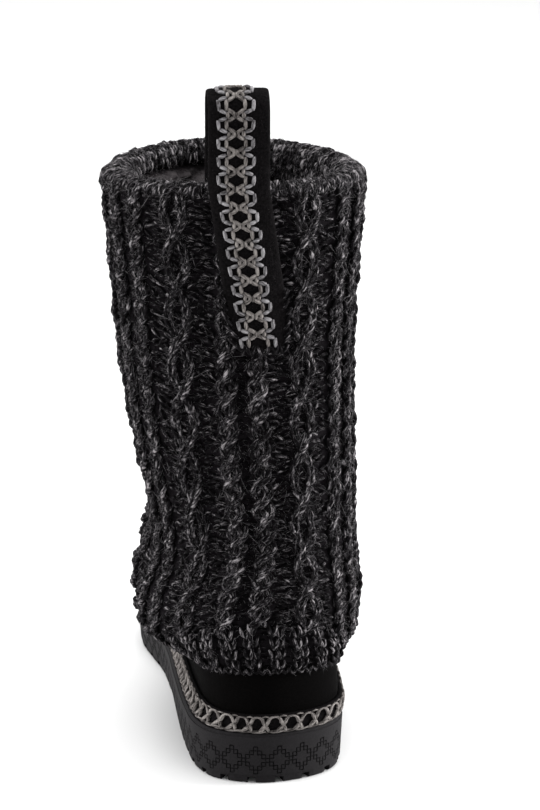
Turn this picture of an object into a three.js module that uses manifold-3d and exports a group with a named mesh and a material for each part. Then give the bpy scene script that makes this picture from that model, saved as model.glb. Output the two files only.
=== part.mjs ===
// Right mid-calf boot: rubber unit sole, suede foot with its leg, knitted sleeve, net trim and a pull loop.
// Millimetres. +Z is up, +Y points to the toe and +X to the wearer's right, the outer side of the foot.
// The origin is on the floor under the heel.
import * as THREE from "three";
import loadManifold from "manifold-3d";

// Driving sizes
const SOLE_LENGTH = 275;
const BALL_WIDTH = 97;
const HEEL_BACK = -38.5;
const SEAM_GAP = 0.3;
const UPPER_WALL = 3;
const KNIT_WALL = 4;

// Sole outline at its widest level: along is a share of the sole's length from the heel's back edge,
// the two edges are shares of the ball width from the heel's centre line.
const SOLE_OUTLINE = [
  { along: 0.03, medial: -0.24, lateral: 0.27 },
  { along: 0.08, medial: -0.325, lateral: 0.388 },
  { along: 0.17, medial: -0.362, lateral: 0.412 },
  { along: 0.34, medial: -0.38, lateral: 0.418 },
  { along: 0.47, medial: -0.386, lateral: 0.445 },
  { along: 0.58, medial: -0.405, lateral: 0.49 },
  { along: 0.66, medial: -0.448, lateral: 0.514 },
  { along: 0.75, medial: -0.488, lateral: 0.512 },
  { along: 0.85, medial: -0.455, lateral: 0.45 },
  { along: 0.93, medial: -0.365, lateral: 0.335 },
  { along: 0.98, medial: -0.235, lateral: 0.165 },
];
const TOE_TIP_ACROSS = -0.04;

// Sole heights: flat heel, low arch, flat ball and toe spring.
const SOLE_PROFILE = [
  { along: 0, bottom: 0, top: 25 },
  { along: 0.26, bottom: 0, top: 25 },
  { along: 0.4, bottom: 2.2, top: 24 },
  { along: 0.54, bottom: 0, top: 22.5 },
  { along: 0.76, bottom: 0, top: 22 },
  { along: 0.9, bottom: 4.5, top: 25 },
  { along: 1, bottom: 11, top: 30.5 },
];
const SOLE_POINTS = 80;
const SIDE_FLARE = 1.2;
const TREAD_BEVEL = 0.9;
const EDGE_ROUNDING = 0.8;
const NOTCH = { count: 46, width: 4, height: 3, length: 18 };

// Upper sections from the sole's edge to the top of the leg, outside of the wall.
// leg is 0 for the foot's outline and 1 for an oval, rises are heights above the sole's top.
// The medial side of the foot draws in from the sole's edge towards the heel, by a share of its width there.
const HEEL_TAPER = 0.12;
const UPPER_SECTIONS = [
  { level: 0, leg: 0, back: -34.5, front: 229.5, medial: -42.5, lateral: 46,
    backRise: 0.3, sideRise: 0.3, frontRise: 0.3 },
  { level: 1, leg: 0, back: -35.6, front: 232, medial: -43, lateral: 47.8,
    backRise: 10, sideRise: 11, frontRise: 12 },
  { level: 2, leg: 0.05, back: -36, front: 229, medial: -43, lateral: 47.8,
    backRise: 19, sideRise: 21, frontRise: 26 },
  { level: 3, leg: 0.15, back: -35.8, front: 216, medial: -41.5, lateral: 45.4,
    backRise: 28, sideRise: 30, frontRise: 39 },
  { level: 4, leg: 0.3, back: -35, front: 191, medial: -39.5, lateral: 42.8,
    backRise: 38, sideRise: 40, frontRise: 50 },
  { level: 5, leg: 0.5, back: -34.4, front: 160, medial: -38.5, lateral: 40.5,
    backRise: 48, sideRise: 51, frontRise: 61 },
  { level: 6, leg: 0.75, back: -33.6, front: 132, medial: -38.5, lateral: 39.5,
    backRise: 60, sideRise: 65, frontRise: 74 },
  { level: 7, leg: 1, back: -32, front: 112, medial: -40, lateral: 41.5,
    backRise: 78, sideRise: 84, frontRise: 94 },
  { level: 8, leg: 1, back: -31, front: 100, medial: -44, lateral: 42.5,
    backRise: 108, sideRise: 114, frontRise: 124 },
  { level: 9, leg: 1, back: -30.4, front: 92, medial: -56.5, lateral: 41,
    backRise: 168, sideRise: 172, frontRise: 178 },
  { level: 10, leg: 1, back: -31.3, front: 90.6, medial: -64.9, lateral: 47.5,
    backRise: 255, sideRise: 252.5, frontRise: 255.5 },
];
const UPPER_POINTS = 44;
const FOOT_STEP = 0.5;

// Knitted sleeve, its ground between the raised stitches. run is the way along the knit from its hem.
// turn is the angle from the back at which the pair of rope cables lies.
const SLEEVE_SECTIONS = [
  { run: 24, round: 0.87, back: -42, front: 148, medial: -55.5, lateral: 51.5,
    backHeight: 79, sideHeight: 62, frontHeight: 108, turn: -9 },
  { run: 40, round: 0.91, back: -41.5, front: 139, medial: -54.6, lateral: 52,
    backHeight: 92, sideHeight: 75, frontHeight: 122, turn: -9 },
  { run: 76, round: 1, back: -38, front: 116, medial: -46.8, lateral: 49.2,
    backHeight: 119, sideHeight: 105, frontHeight: 141, turn: -9 },
  { run: 110, round: 1, back: -36, front: 104, medial: -54.5, lateral: 48,
    backHeight: 150, sideHeight: 146, frontHeight: 165, turn: -6 },
  { run: 160, round: 1, back: -35.5, front: 97.5, medial: -62.8, lateral: 47.2,
    backHeight: 200, sideHeight: 200, frontHeight: 206, turn: -3 },
  { run: 210, round: 1, back: -35.5, front: 96, medial: -66.8, lateral: 50.2,
    backHeight: 250, sideHeight: 250, frontHeight: 253, turn: -2 },
  { run: 242, round: 1, back: -36, front: 95.5, medial: -69.8, lateral: 52.4,
    backHeight: 281, sideHeight: 278.5, frontHeight: 280, turn: -2 },
];
const SLEEVE_POINTS = 84;
const HEM_LEVEL = { back: 3.28, side: 2.5, front: 5.2 };
const HEM = { clearance: 1.8, wall: 2.6, normalSpan: [-0.1, 0, 0.1] };
const ANGLE_HALVINGS = 24;
const RIB_RUN = SLEEVE_SECTIONS[0].run;
const RIM_RUN = SLEEVE_SECTIONS.at(-1).run;
const ROLL_RADIUS = 6.2;
const ROLL_STEPS = 6;
const FOLD_DEPTH = 4;
const INNER_STRIDE = 6;

// Knit relief: six repeats round the sleeve, each a pair of ropes and a lattice panel of crossing ropes.
const REPEATS = 6;
const ROPE_OFFSET = 0.125;
const ROPE_HALF_WIDTH = 0.11;
const LATTICE_REACH = 0.11;
const LATTICE_HALF_WIDTH = 0.075;
const HALF_DIAMOND = 11;
const ROPE_HEIGHT = 2.4;
const RIB_COUNT = 28;
const RIB_HEIGHT = 1.3;

const TRIM = { levels: [0, 0.46, 0.92], soleInset: 1.2, thickness: 1.9 };
const INSOLE = { thickness: 4, clearance: 0.5 };
const STRAP = {
  width: 28, thickness: 2.2, endHeight: 213, endWidth: 15, endRun: 6, rimHeight: 288, topHeight: 332.3,
  insideEnd: 259, outerBack: -40.05, innerBack: -21.8, endAcross: -1.5, rimAcross: -12, shaftAcross: -9,
  outerRadius: 53, innerRadius: 39, flatFrom: 286, flatTo: 312, lanes: 5, archSteps: 8, legSteps: 5,
};

const COLOURS = {
  outsole: { color: 0x303032, roughness: 0.85 },
  insole: { color: 0x2a2a2c, roughness: 0.95 },
  upper: { color: 0x111112, roughness: 0.97 },
  foot_trim: { color: 0x5c5955, roughness: 0.95 },
  knit_sleeve: { color: 0x38383b, roughness: 0.97 },
  pull_loop: { color: 0x1b1b1d, roughness: 0.95 },
};

const { lerp, smoothstep } = THREE.MathUtils;
const manifold = await loadManifold();
manifold.setup();

// Slope of a column at one row: level at a peak, and the harmonic mean of both sides elsewhere.
function slopeAt(rows, key, column, row) {
  const secant = (low) => (rows[low + 1][column] - rows[low][column]) / (rows[low + 1][key] - rows[low][key]);
  if (row === 0) return secant(0);
  if (row === rows.length - 1) return secant(row - 1);
  const before = secant(row - 1);
  const after = secant(row);
  return before * after <= 0 ? 0 : (2 * before * after) / (before + after);
}

// Smooth value of a table's column between its rows, which never overshoots them.
function columnAt(rows, key, column, at) {
  const last = rows.length - 1;
  const place = THREE.MathUtils.clamp(at, rows[0][key], rows[last][key]);
  let low = 0;
  while (low < last - 1 && place > rows[low + 1][key]) low += 1;
  const span = rows[low + 1][key] - rows[low][key];
  const t = (place - rows[low][key]) / span;
  const rise = rows[low + 1][column] - rows[low][column];
  const slopeIn = slopeAt(rows, key, column, low) * span;
  const slopeOut = slopeAt(rows, key, column, low + 1) * span;
  const cubic = (slopeIn + slopeOut - 2 * rise) * t ** 3 + (3 * rise - 2 * slopeIn - slopeOut) * t ** 2;
  return rows[low][column] + slopeIn * t + cubic;
}

// Section of a table at any place along it.
function sectionAt(rows, key, at) {
  const section = {};
  for (const column of Object.keys(rows[0])) section[column] = columnAt(rows, key, column, at);
  return section;
}

// Value round a ring from its values at the back, at both sides and at the front.
function roundRing(back, side, front, angle) {
  const mean = (back + front + 2 * side) / 4;
  const tilt = (back - front) / 2;
  const saddle = (back + front - 2 * side) / 4;
  return mean + tilt * Math.cos(angle) + saddle * Math.cos(2 * angle);
}

function powerOf(value, exponent) {
  return Math.sign(value) * Math.abs(value) ** exponent;
}

// Sole outline: from the heel along the lateral edge to the toe, and back along the medial edge.
function soleCurve() {
  const place = (across, along) => new THREE.Vector3(across * BALL_WIDTH, HEEL_BACK + along * SOLE_LENGTH, 0);
  const lateral = SOLE_OUTLINE.map((row) => place(row.lateral, row.along));
  const medial = SOLE_OUTLINE.map((row) => place(row.medial, row.along)).reverse();
  const points = [place(0, 0), ...lateral, place(TOE_TIP_ACROSS, 1), ...medial];
  return new THREE.CatmullRomCurve3(points, true, "centripetal");
}

const outline = soleCurve();

function soleHeight(column, y) {
  return columnAt(SOLE_PROFILE, "along", column, (y - HEEL_BACK) / SOLE_LENGTH);
}

// Ring round the sole, moved in from its outline, with a height worked out from each point's place.
function soleRing(points, inset, heightOf) {
  const ring = [];
  for (let i = 0; i < points; i += 1) {
    const point = outline.getPoint(i / points);
    const tangent = outline.getTangent(i / points);
    point.x -= tangent.y * inset;
    point.y += tangent.x * inset;
    point.z = heightOf(point.y);
    ring.push(point);
  }
  return ring;
}

// Foot outline in a unit box: across from -1 to 1, along from 0 at the heel to 1 at the toe.
function unitFoot(angle) {
  const share = THREE.MathUtils.euclideanModulo(angle / (2 * Math.PI), 1);
  const point = outline.getPoint(share);
  const edges = SOLE_OUTLINE.map((row) => (point.x > 0 ? row.lateral : -row.medial));
  const widest = Math.max(...edges) * BALL_WIDTH;
  return { across: point.x / widest, along: (point.y - HEEL_BACK) / SOLE_LENGTH };
}

// Point on the outside of the upper: level is a place in its table, angle 0 the heel and half a turn the toe.
function upperPoint(level, angle) {
  const section = sectionAt(UPPER_SECTIONS, "level", level);
  const foot = unitFoot(angle);
  const taper = foot.across < 0 ? HEEL_TAPER * (1 - foot.along) : 0;
  const across = lerp(foot.across * (1 - taper), Math.sin(angle), section.leg);
  const along = lerp(foot.along, (1 - Math.cos(angle)) / 2, section.leg);
  const middle = section.leg * (section.medial + section.lateral) / 2;
  const reach = across > 0 ? section.lateral - middle : middle - section.medial;
  const y = lerp(section.back, section.front, along);
  const rise = roundRing(section.backRise, section.sideRise, section.frontRise, angle);
  return new THREE.Vector3(middle + across * reach, y, soleHeight("top", y) + rise);
}

function upperRing(level) {
  const ring = [];
  for (let i = 0; i < UPPER_POINTS; i += 1) ring.push(upperPoint(level, (2 * Math.PI * i) / UPPER_POINTS));
  return ring;
}

// Rings moved along the surface's normal, outward for a positive distance.
function offsetRings(rings, distanceAt) {
  return rings.map((ring, r) => ring.map((point, i) => {
    const above = rings[Math.min(r + 1, rings.length - 1)][i];
    const below = rings[Math.max(r - 1, 0)][i];
    const next = ring[(i + 1) % ring.length];
    const previous = ring[(i + ring.length - 1) % ring.length];
    const normal = next.clone().sub(previous).cross(above.clone().sub(below)).normalize();
    return point.clone().addScaledVector(normal, distanceAt(r, i));
  }));
}

// Geometry from points and faces.
function geometryFrom(rings, faces) {
  const geometry = new THREE.BufferGeometry();
  const positions = rings.flat().flatMap((point) => [point.x, point.y, point.z]);
  geometry.setAttribute("position", new THREE.Float32BufferAttribute(positions, 3));
  geometry.setIndex(faces.flat());
  geometry.computeVertexNormals();
  return geometry;
}

// Faces of the wall between each ring and the next one.
function wallFaces(ringCount, points, closed) {
  const faces = [];
  const last = closed ? ringCount : ringCount - 1;
  for (let r = 0; r < last; r += 1) {
    const low = r * points;
    const high = ((r + 1) % ringCount) * points;
    for (let i = 0; i < points; i += 1) {
      const next = (i + 1) % points;
      faces.push([low + i, low + next, high + next], [low + i, high + next, high + i]);
    }
  }
  return faces;
}

// Hollow wall: its rings go up the outside and down the inside, and the last one meets the first.
function hollowSolid(rings) {
  return geometryFrom(rings, wallFaces(rings.length, rings[0].length, true));
}

// Strips that close a ring from side to side, a single triangle at the heel and at the toe.
function capFaces(start, points, upward) {
  const faces = [];
  for (let i = 0; i < points / 2; i += 1) {
    const [a, b, c, d] = [i, i + 1, points - i - 1, (points - i) % points].map((corner) => start + corner);
    if (b !== c) faces.push(upward ? [a, b, c] : [c, b, a]);
    if (a !== d) faces.push(upward ? [a, c, d] : [d, c, a]);
  }
  return faces;
}

// Full solid between its lowest and its highest ring.
function fullSolid(rings) {
  const points = rings[0].length;
  const faces = wallFaces(rings.length, points, false);
  faces.push(...capFaces(0, points, false), ...capFaces((rings.length - 1) * points, points, true));
  return geometryFrom(rings, faces);
}

function toManifold(geometry) {
  const vertProperties = Float32Array.from(geometry.getAttribute("position").array);
  const triVerts = Uint32Array.from(geometry.getIndex().array);
  const mesh = new manifold.Mesh({ numProp: 3, vertProperties, triVerts });
  mesh.merge();
  return new manifold.Manifold(mesh);
}

function fromManifold(solid) {
  const mesh = solid.getMesh();
  const geometry = new THREE.BufferGeometry();
  geometry.setAttribute("position", new THREE.Float32BufferAttribute(mesh.vertProperties, 3));
  geometry.setIndex(Array.from(mesh.triVerts));
  geometry.computeVertexNormals();
  return geometry;
}

// Tread notch across the sole's lower edge, at a share of the way round it.
function notchBox(share) {
  const point = outline.getPointAt(share);
  const tangent = outline.getTangentAt(share);
  const box = new THREE.BoxGeometry(NOTCH.width, NOTCH.length, 2 * NOTCH.height);
  box.rotateZ(Math.atan2(tangent.y, tangent.x));
  box.translate(point.x, point.y, soleHeight("bottom", point.y));
  return box;
}

function outsoleGeometry() {
  const sole = fullSolid([
    soleRing(SOLE_POINTS, SIDE_FLARE + TREAD_BEVEL, (y) => soleHeight("bottom", y)),
    soleRing(SOLE_POINTS, SIDE_FLARE, (y) => soleHeight("bottom", y) + TREAD_BEVEL),
    soleRing(SOLE_POINTS, 0, (y) => soleHeight("top", y) - EDGE_ROUNDING),
    soleRing(SOLE_POINTS, EDGE_ROUNDING, (y) => soleHeight("top", y)),
  ]);
  let solid = toManifold(sole);
  for (let i = 0; i < NOTCH.count; i += 1) {
    solid = solid.subtract(toManifold(notchBox((i + 0.5) / NOTCH.count)));
  }
  return fromManifold(solid);
}

function upperGeometry() {
  const rings = [];
  const top = UPPER_SECTIONS.at(-1).level;
  for (let level = 0; level <= top; level += FOOT_STEP) rings.push(upperRing(level));
  const inside = offsetRings(rings, () => -UPPER_WALL);
  inside[0].forEach((point, i) => { point.z = rings[0][i].z; });
  const coarse = inside.filter((ring, r) => r % 2 === 0);
  return hollowSolid([...rings, ...coarse.reverse()]);
}

function insoleGeometry() {
  const rings = [0, FOOT_STEP].map(upperRing);
  const edge = offsetRings(rings, () => -UPPER_WALL - INSOLE.clearance)[0];
  const lift = (height) => edge.map(({ x, y }) => new THREE.Vector3(x, y, soleHeight("top", y) + height));
  return fullSolid([lift(SEAM_GAP), lift(SEAM_GAP + INSOLE.thickness)]);
}

// Net trim between the sole's ledge and the foot, following the upper's own surface.
function trimGeometry() {
  const seat = TRIM.levels.map(upperRing);
  const inner = offsetRings(seat, () => SEAM_GAP);
  const outer = offsetRings(seat, () => SEAM_GAP + TRIM.thickness);
  const base = soleRing(UPPER_POINTS, TRIM.soleInset, (y) => soleHeight("top", y) + SEAM_GAP);
  inner[0].forEach((point) => { point.z = soleHeight("top", point.y) + SEAM_GAP; });
  return hollowSolid([base, outer[1], outer[2], inner[2], inner[1], inner[0]]);
}

// Ground of the sleeve at a way along the knit and an angle round it.
function sleeveGround(run, angle) {
  const section = sectionAt(SLEEVE_SECTIONS, "run", run);
  const middle = (section.medial + section.lateral) / 2;
  const halfWidth = (section.lateral - section.medial) / 2;
  const halfDepth = (section.front - section.back) / 2;
  const x = middle + halfWidth * powerOf(Math.sin(angle), section.round);
  const y = section.back + halfDepth * (1 - powerOf(Math.cos(angle), section.round));
  const z = roundRing(section.backHeight, section.sideHeight, section.frontHeight, angle);
  return new THREE.Vector3(x, y, z);
}

// Angle round the upper, on the lateral side, at which one of its levels reaches a place along the foot.
function upperAngleAt(level, along) {
  let low = 0;
  let high = Math.PI;
  for (let halving = 0; halving < ANGLE_HALVINGS; halving += 1) {
    const middle = (low + high) / 2;
    if (upperPoint(level, middle).y < along) low = middle;
    else high = middle;
  }
  return (low + high) / 2;
}

function sleeveRing(run) {
  const ring = [];
  for (let i = 0; i < SLEEVE_POINTS; i += 1) ring.push(sleeveGround(run, (2 * Math.PI * i) / SLEEVE_POINTS));
  return ring;
}

// Hem of the sleeve, lying on the upper, with its ribs straight below those of the sleeve.
function hemRing() {
  const heel = upperPoint(HEM_LEVEL.back, 0).y;
  const instep = upperPoint(HEM_LEVEL.front, Math.PI).y;
  const rings = HEM.normalSpan.map((shift) => {
    const ring = [];
    for (let i = 0; i < SLEEVE_POINTS; i += 1) {
      const angle = (2 * Math.PI * i) / SLEEVE_POINTS;
      const level = roundRing(HEM_LEVEL.back, HEM_LEVEL.side, HEM_LEVEL.front, angle);
      const lateral = upperAngleAt(level, lerp(heel, instep, (1 - Math.cos(angle)) / 2));
      ring.push(upperPoint(level + shift, angle > Math.PI ? 2 * Math.PI - lateral : lateral));
    }
    return ring;
  });
  return offsetRings(rings, () => HEM.clearance + HEM.wall)[1];
}

// Rim rolled inward by an angle, then folded down inside by a depth.
function rolledRing(turned, depth) {
  const ring = [];
  for (let i = 0; i < SLEEVE_POINTS; i += 1) {
    const angle = (2 * Math.PI * i) / SLEEVE_POINTS;
    const point = sleeveGround(RIM_RUN - depth, angle);
    const inward = ROLL_RADIUS * (1 - Math.cos(turned));
    point.x -= inward * Math.sin(angle);
    point.y += inward * Math.cos(angle);
    point.z += ROLL_RADIUS * Math.sin(turned);
    ring.push(point);
  }
  return ring;
}

// Ground rings of the sleeve from its hem over the rim to the end of the fold, with their runs.
function sleeveRings() {
  const hem = hemRing();
  const ribTop = sleeveRing(RIB_RUN);
  const levels = [{ run: 0, ring: hem }];
  levels.push({ run: RIB_RUN / 2, ring: hem.map((point, i) => point.clone().lerp(ribTop[i], 0.5)) });
  for (let run = RIB_RUN; run < RIM_RUN - HALF_DIAMOND / 2; run += HALF_DIAMOND) {
    levels.push({ run, ring: sleeveRing(run) });
  }
  for (let step = 0; step <= ROLL_STEPS; step += 1) {
    const turned = (Math.PI * step) / ROLL_STEPS;
    levels.push({ run: RIM_RUN + ROLL_RADIUS * turned, ring: rolledRing(turned, 0) });
  }
  levels.push({ run: RIM_RUN + ROLL_RADIUS * Math.PI + FOLD_DEPTH, ring: rolledRing(Math.PI, FOLD_DEPTH) });
  return levels;
}

// Rounded ridge of height 1, zero beyond its half width.
function ridge(distance, halfWidth) {
  return Math.abs(distance) < halfWidth ? Math.cos((Math.PI * distance) / (2 * halfWidth)) ** 2 : 0;
}

// Height of the stitches over the ground: ribs at the hem, ropes and crossing ropes above it.
function knitRelief(run, i) {
  if (run < RIB_RUN) return i % (SLEEVE_POINTS / RIB_COUNT) === 0 ? 0 : RIB_HEIGHT;
  const turn = columnAt(SLEEVE_SECTIONS, "run", "turn", run);
  const share = i / SLEEVE_POINTS - turn / 360;
  const across = THREE.MathUtils.euclideanModulo(share * REPEATS + 0.5, 1) - 0.5;
  const rope = ridge(Math.abs(across) - ROPE_OFFSET, ROPE_HALF_WIDTH);
  const swing = LATTICE_REACH * Math.abs(Math.sin((Math.PI * (run - RIB_RUN)) / (2 * HALF_DIAMOND)));
  const lattice = ridge(0.5 - Math.abs(across) - swing, LATTICE_HALF_WIDTH);
  const fade = 1 - smoothstep(run, RIM_RUN, RIM_RUN + ROLL_RADIUS * Math.PI);
  return ROPE_HEIGHT * fade * Math.max(rope, lattice);
}

function sleeveGeometry() {
  const levels = sleeveRings();
  const ground = levels.map((level) => level.ring);
  const outside = offsetRings(ground, (r, i) => knitRelief(levels[r].run, i));
  const rim = levels.findIndex((level) => level.run === RIM_RUN);
  const inside = offsetRings(ground, (r) => -(r === 0 ? HEM.wall : KNIT_WALL)).filter((ring, r) => {
    const stride = r < rim ? INNER_STRIDE : ROLL_STEPS / 2;
    return r === ground.length - 1 || (r < rim ? r : r - rim) % stride === 0;
  });
  return hollowSolid([...outside, ...inside.reverse()]);
}

// Stations along the strap from its outer end over the arch to its inner end.
function strapStations() {
  const archRadius = (STRAP.innerBack - STRAP.outerBack) / 2;
  const archMiddle = (STRAP.innerBack + STRAP.outerBack) / 2;
  const archHeight = STRAP.topHeight - STRAP.thickness / 2 - archRadius;
  const stations = [{ y: STRAP.outerBack, z: STRAP.endHeight, turned: 0, width: STRAP.endWidth }];
  for (let step = 0; step <= STRAP.legSteps; step += 1) {
    const z = lerp(STRAP.endHeight + STRAP.endRun, archHeight, step / STRAP.legSteps);
    stations.push({ y: STRAP.outerBack, z, turned: 0, width: STRAP.width });
  }
  for (let step = 1; step <= STRAP.archSteps; step += 1) {
    const turned = (Math.PI * step) / STRAP.archSteps;
    const y = archMiddle - archRadius * Math.cos(turned);
    const z = archHeight + archRadius * Math.sin(turned);
    stations.push({ y, z, turned, width: STRAP.width });
  }
  for (let step = 1; step <= STRAP.legSteps; step += 1) {
    const z = lerp(archHeight, STRAP.insideEnd, step / STRAP.legSteps);
    stations.push({ y: STRAP.innerBack, z, turned: Math.PI, width: STRAP.width });
  }
  return stations;
}

// Ring round the strap at one station: across its outer face and back across its inner face.
function strapRing({ y, z, turned, width }) {
  const lean = THREE.MathUtils.clamp((z - STRAP.endHeight) / (STRAP.rimHeight - STRAP.endHeight), 0, 1);
  const middle = lerp(STRAP.endAcross, STRAP.rimAcross, lean);
  const radius = turned === 0 ? STRAP.outerRadius : STRAP.innerRadius;
  const wrap = 1 - smoothstep(z, STRAP.flatFrom, STRAP.flatTo);
  const half = STRAP.thickness / 2;
  const laneAt = (lane, side) => {
    const x = middle + width * (lane / (STRAP.lanes - 1) - 0.5);
    const bend = (wrap * (x - STRAP.shaftAcross) ** 2) / (2 * radius);
    const out = side * half;
    return new THREE.Vector3(x, y + bend - out * Math.cos(turned), z + out * Math.sin(turned));
  };
  const lanes = Array.from({ length: STRAP.lanes }, (_, lane) => lane);
  return [...lanes.map((lane) => laneAt(lane, 1)), ...lanes.reverse().map((lane) => laneAt(lane, -1))];
}

function strapGeometry() {
  const rings = strapStations().map(strapRing);
  const points = rings[0].length;
  const faces = wallFaces(rings.length, points, false);
  for (let lane = 0; lane < STRAP.lanes - 1; lane += 1) {
    const quad = [lane, lane + 1, points - lane - 2, points - lane - 1];
    const end = (rings.length - 1) * points;
    faces.push([quad[0], quad[2], quad[1]], [quad[0], quad[3], quad[2]]);
    faces.push([end + quad[0], end + quad[1], end + quad[2]], [end + quad[0], end + quad[2], end + quad[3]]);
  }
  return geometryFrom(rings, faces);
}

const boot = new THREE.Group();
boot.name = "knit_boot";

function addPart(name, geometry) {
  const material = new THREE.MeshStandardMaterial({ ...COLOURS[name], metalness: 0 });
  const mesh = new THREE.Mesh(geometry, material);
  mesh.name = name;
  boot.add(mesh);
}

addPart("outsole", outsoleGeometry());
addPart("insole", insoleGeometry());
addPart("upper", upperGeometry());
addPart("foot_trim", trimGeometry());
addPart("knit_sleeve", sleeveGeometry());
addPart("pull_loop", strapGeometry());

export default boot;
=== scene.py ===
"""Looks of the right mid-calf boot: knit, net trim, pull loop, suede, plush lining and rubber sole."""
import math

import bpy
import numpy as np
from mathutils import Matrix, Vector


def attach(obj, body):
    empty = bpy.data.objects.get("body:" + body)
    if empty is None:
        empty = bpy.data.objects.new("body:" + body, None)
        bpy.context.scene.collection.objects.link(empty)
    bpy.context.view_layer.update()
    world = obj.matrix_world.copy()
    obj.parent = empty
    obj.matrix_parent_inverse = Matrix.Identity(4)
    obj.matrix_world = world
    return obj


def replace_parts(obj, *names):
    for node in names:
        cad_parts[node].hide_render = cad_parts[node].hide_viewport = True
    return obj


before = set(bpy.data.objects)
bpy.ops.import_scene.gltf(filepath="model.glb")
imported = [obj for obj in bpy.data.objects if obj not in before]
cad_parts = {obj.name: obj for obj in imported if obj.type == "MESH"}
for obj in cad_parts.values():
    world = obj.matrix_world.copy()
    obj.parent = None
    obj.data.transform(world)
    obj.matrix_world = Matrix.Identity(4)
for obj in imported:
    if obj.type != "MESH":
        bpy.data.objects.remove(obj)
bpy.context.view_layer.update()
random = np.random.default_rng(7)

# Sizes are in millimetres in the part's frame: +Z up, +Y to the toe, +X to the outer side of the foot.
MM = 0.001
TURN = 2 * math.pi


def table(names, *rows):
    """Columns of a table by name."""
    return dict(zip(names.split(), np.array(rows, float).T))


def rows_of(columns):
    """Rows of a table, each with its values by name."""
    return [dict(zip(columns, row)) for row in zip(*columns.values())]


# The part's own tables
SOLE_LENGTH = 275
BALL_WIDTH = 97
HEEL_BACK = -38.5
SEAM_GAP = 0.3
UPPER_WALL = 3
SOLE_OUTLINE = table(
    "along medial lateral",
    (0.03, -0.24, 0.27), (0.08, -0.325, 0.388), (0.17, -0.362, 0.412), (0.34, -0.38, 0.418),
    (0.47, -0.386, 0.445), (0.58, -0.405, 0.49), (0.66, -0.448, 0.514), (0.75, -0.488, 0.512),
    (0.85, -0.455, 0.45), (0.93, -0.365, 0.335), (0.98, -0.235, 0.165),
)
TOE_TIP_ACROSS = -0.04
SOLE_PROFILE = table(
    "along bottom top",
    (0, 0, 25), (0.26, 0, 25), (0.4, 2.2, 24), (0.54, 0, 22.5), (0.76, 0, 22), (0.9, 4.5, 25), (1, 11, 30.5),
)
SIDE_FLARE = 1.2
TREAD_BEVEL = 0.9
EDGE_ROUNDING = 0.8
HEEL_TAPER = 0.12
UPPER_SECTIONS = table(
    "level leg back front medial lateral back_rise side_rise front_rise",
    (0, 0, -34.5, 229.5, -42.5, 46, 0.3, 0.3, 0.3),
    (1, 0, -35.6, 232, -43, 47.8, 10, 11, 12),
    (2, 0.05, -36, 229, -43, 47.8, 19, 21, 26),
    (3, 0.15, -35.8, 216, -41.5, 45.4, 28, 30, 39),
    (4, 0.3, -35, 191, -39.5, 42.8, 38, 40, 50),
    (5, 0.5, -34.4, 160, -38.5, 40.5, 48, 51, 61),
    (6, 0.75, -33.6, 132, -38.5, 39.5, 60, 65, 74),
    (7, 1, -32, 112, -40, 41.5, 78, 84, 94),
    (8, 1, -31, 100, -44, 42.5, 108, 114, 124),
    (9, 1, -30.4, 92, -56.5, 41, 168, 172, 178),
    (10, 1, -31.3, 90.6, -64.9, 47.5, 255, 252.5, 255.5),
)
SLEEVE_SECTIONS = table(
    "run round back front medial lateral back_height side_height front_height turn",
    (24, 0.87, -42, 148, -55.5, 51.5, 79, 62, 108, -9),
    (40, 0.91, -41.5, 139, -54.6, 52, 92, 75, 122, -9),
    (76, 1, -38, 116, -46.8, 49.2, 119, 105, 141, -9),
    (110, 1, -36, 104, -54.5, 48, 150, 146, 165, -6),
    (160, 1, -35.5, 97.5, -62.8, 47.2, 200, 200, 206, -3),
    (210, 1, -35.5, 96, -66.8, 50.2, 250, 250, 253, -2),
    (242, 1, -36, 95.5, -69.8, 52.4, 281, 278.5, 280, -2),
)
HEM_LEVEL = {"back": 3.28, "side": 2.5, "front": 5.2}
HEM_OFFSET = 4.4
ANGLE_HALVINGS = 24
RIB_RUN = SLEEVE_SECTIONS["run"][0]
RIM_RUN = SLEEVE_SECTIONS["run"][-1]
ROLL_RADIUS = 6.2
FOLD_DEPTH = 4
FOLD_RUN = RIM_RUN + math.pi * ROLL_RADIUS + FOLD_DEPTH
REPEATS = 6
TRIM = {"top_level": 0.92, "sole_inset": 1.2, "thickness": 1.9}
INSOLE = {"thickness": 4, "clearance": 0.5}
STRAP = {
    "width": 28, "thickness": 2.2, "end_height": 213, "rim_height": 288, "top_height": 332.3,
    "inside_end": 259, "outer_back": -40.05, "inner_back": -21.8, "end_across": -1.5, "rim_across": -12,
    "shaft_across": -9, "outer_radius": 53, "inner_radius": 39, "flat_from": 286, "flat_to": 312,
}


# Surfaces of the part
def column_at(columns, name, at):
    """Smooth value of a table's column by the table's first one, which never overshoots its rows."""
    places = next(iter(columns.values()))
    values = columns[name]
    secant = np.diff(values) / np.diff(places)
    before, after = secant[:-1], secant[1:]
    rising = before * after > 0
    mean = 2 * before * after / np.where(rising, before + after, 1)
    slope = np.concatenate([secant[:1], np.where(rising, mean, 0), secant[-1:]])
    place = np.clip(at, places[0], places[-1])
    low = np.clip(np.searchsorted(places, place, "right") - 1, 0, len(places) - 2)
    span = places[low + 1] - places[low]
    t = (place - places[low]) / span
    rise = values[low + 1] - values[low]
    slope_in = slope[low] * span
    slope_out = slope[low + 1] * span
    square = 3 * rise - 2 * slope_in - slope_out
    cube = slope_in + slope_out - 2 * rise
    return values[low] + slope_in * t + square * t**2 + cube * t**3


def section_at(columns, at):
    return {name: column_at(columns, name, at) for name in columns}


def mix(low, high, t):
    return low + (high - low) * t


def raised(flat, height):
    """Points at given heights over flat ones."""
    return np.concatenate([flat, height[..., None]], axis=-1)


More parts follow.
